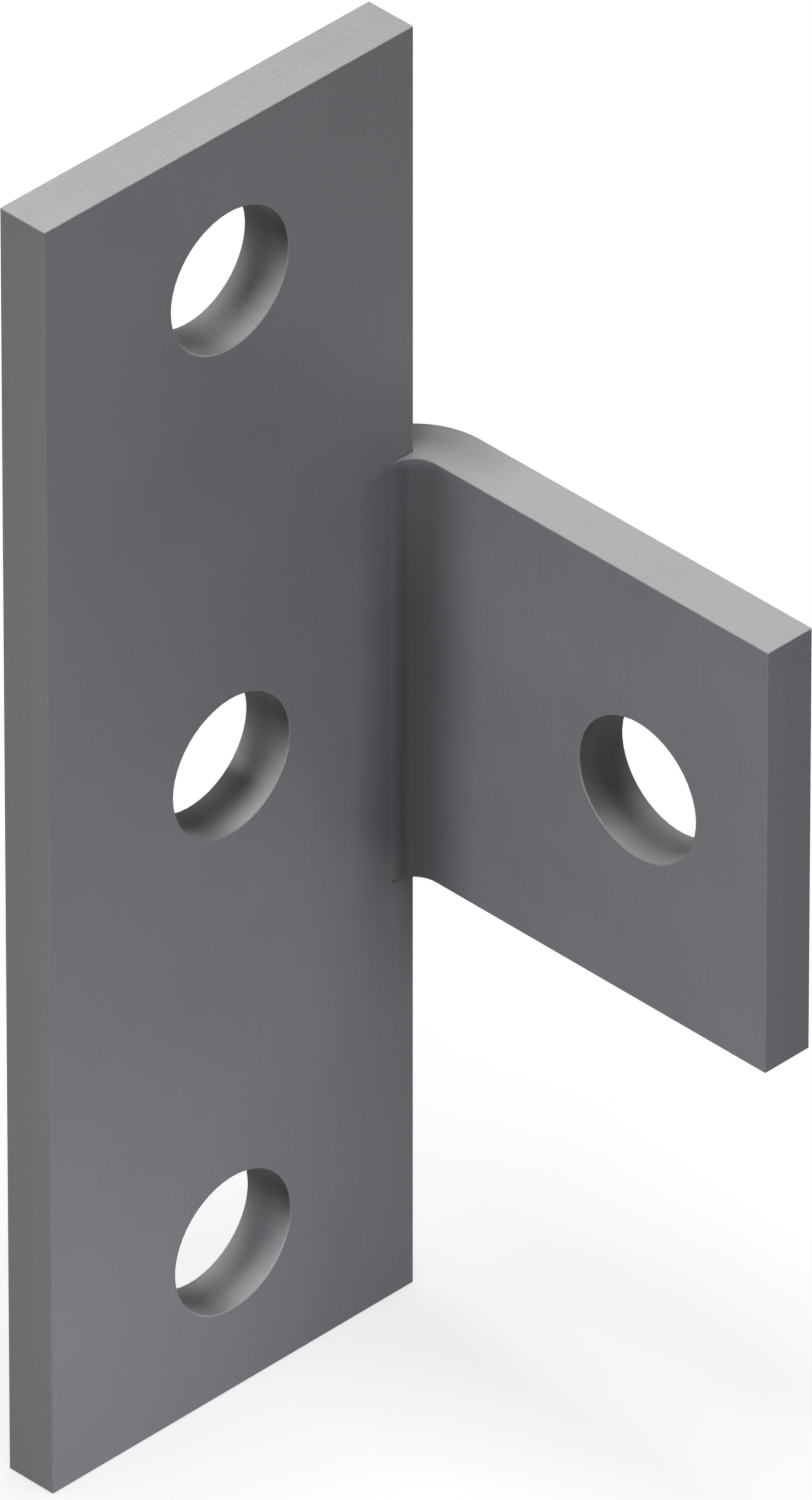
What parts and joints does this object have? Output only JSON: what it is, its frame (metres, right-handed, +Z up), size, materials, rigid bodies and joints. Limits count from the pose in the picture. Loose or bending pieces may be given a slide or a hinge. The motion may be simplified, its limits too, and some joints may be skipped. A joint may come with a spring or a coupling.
{
  "type": "splice angle bracket",
  "caption": "Folded steel angle bracket: an upright plate with a row of bolt holes, and a square tab with one hole, folded out of the middle of its edge.",
  "frame": {"origin": "on the axis of the plate's middle hole, at the seating face on the plate's back", "axes": "+Z up along the plate and its row of holes, +Y out of the plate's seating face, -Y the way the tab stands out, +X across the plate towards the tab"},
  "size_m": [0.046, 0.0447, 0.123],
  "materials": {
    "zinc_plated_steel": "satin"
  },
  "bodies": {
    "root": {"splice_angle": "zinc_plated_steel"}
  },
  "joints": []
}
